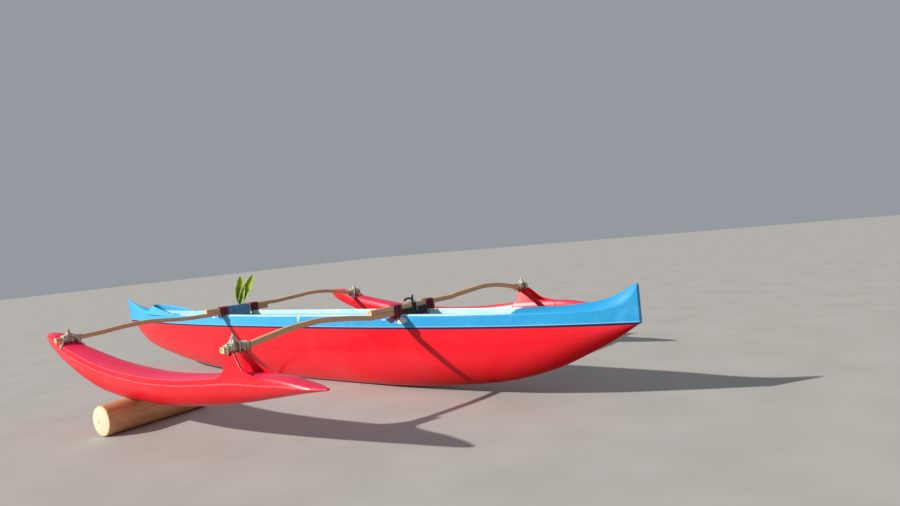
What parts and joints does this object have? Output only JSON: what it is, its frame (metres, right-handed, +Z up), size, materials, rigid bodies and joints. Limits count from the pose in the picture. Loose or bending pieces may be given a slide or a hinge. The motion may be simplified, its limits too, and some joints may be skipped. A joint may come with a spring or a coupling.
{
  "type": "double outrigger canoe on a log rest",
  "caption": "Narrow open canoe with a float on each side, carried by bowed wooden booms lashed over the gunwales; the port float rests on a log.",
  "frame": {"origin": "on the floor under the keel, on the hull's centre plane, at half of the hull's length", "axes": "+X aft along the hull, +Y to starboard, +Z up; the port float is at -Y"},
  "size_m": [8.5, 4.5686, 1.2462],
  "materials": {
    "red_hull": "glossy gelcoat over glass fibre",
    "blue_deck": "satin gelcoat, chalky at worn spots",
    "interior": "speckled paint on glass fibre",
    "boom_wood": "weathered laminated wood",
    "maroon_lashing": "tight wraps of dark red webbing",
    "blue_cloth": "faded woven cotton",
    "black_webbing": "matte woven webbing",
    "leaf": "waxy leaf with a pale edge",
    "grey_cord": "weathered braided cord",
    "log_wood": "debarked log, streaked lengthwise"
  },
  "bodies": {
    "root": {"hull_shell": "red_hull", "foredeck": "blue_deck", "port_gunwale": "blue_deck", "starboard_gunwale": "blue_deck", "afterdeck": "blue_deck", "fore_hood": "blue_deck", "fore_bulkhead": "interior", "aft_bulkhead": "interior", "seat_1": "interior", "seat_2": "interior", "seat_3": "interior", "seat_4": "interior", "fore_brace": "boom_wood", "aft_brace": "boom_wood", "fore_port_boom": "boom_wood", "fore_starboard_boom": "boom_wood", "aft_port_boom": "boom_wood", "aft_starboard_boom": "boom_wood", "fore_port_peg": "boom_wood", "fore_starboard_peg": "boom_wood", "aft_port_peg": "boom_wood", "aft_starboard_peg": "boom_wood", "fore_port_gunwale_lashing": "maroon_lashing", "fore_starboard_gunwale_lashing": "maroon_lashing", "aft_port_gunwale_lashing": "maroon_lashing", "aft_starboard_gunwale_lashing": "maroon_lashing", "fore_cloth_wrap": "blue_cloth", "aft_strap_wrap": "black_webbing", "aft_strap_loop": "black_webbing", "leaf_sprig": "leaf", "port_float": "red_hull", "starboard_float": "red_hull", "port_outer_fin": "red_hull", "port_inner_fin": "red_hull", "starboard_outer_fin": "red_hull", "starboard_inner_fin": "red_hull", "fore_port_float_lashing": "grey_cord", "aft_port_float_lashing": "grey_cord", "fore_starboard_float_lashing": "grey_cord", "aft_starboard_float_lashing": "grey_cord", "support_log": "log_wood"}
  },
  "joints": []
}
